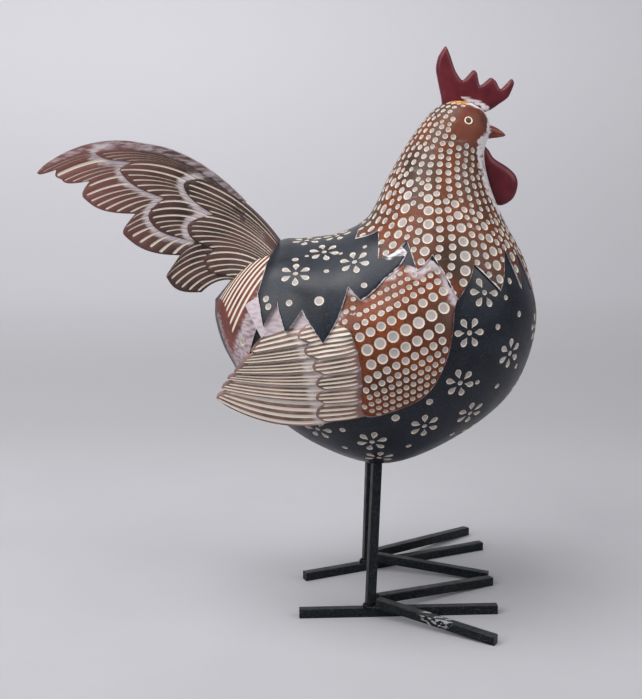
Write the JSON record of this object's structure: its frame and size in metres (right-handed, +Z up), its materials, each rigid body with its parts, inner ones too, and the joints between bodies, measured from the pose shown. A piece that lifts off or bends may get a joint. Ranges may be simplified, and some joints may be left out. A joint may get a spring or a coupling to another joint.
{
  "type": "decorative rooster figure",
  "caption": "Standing rooster ornament: a carved, painted cast-resin bird with raised tail and comb, on bar legs with spread toes.",
  "frame": {"origin": "on the floor, under the middle of the object's bounding box", "axes": "+Z up, +X the way the bird faces, +Y to the bird's left"},
  "size_m": [0.2598, 0.1662, 0.2908],
  "materials": {
    "painted_resin": "hand-painted satin",
    "black_steel": "satin black paint"
  },
  "bodies": {
    "root": {"rooster_figure": "painted_resin", "right_leg": "black_steel", "right_long_toe": "black_steel", "right_outer_toe": "black_steel", "right_inner_toe": "black_steel", "left_leg": "black_steel", "left_long_toe": "black_steel", "left_outer_toe": "black_steel", "left_inner_toe": "black_steel"}
  },
  "joints": []
}
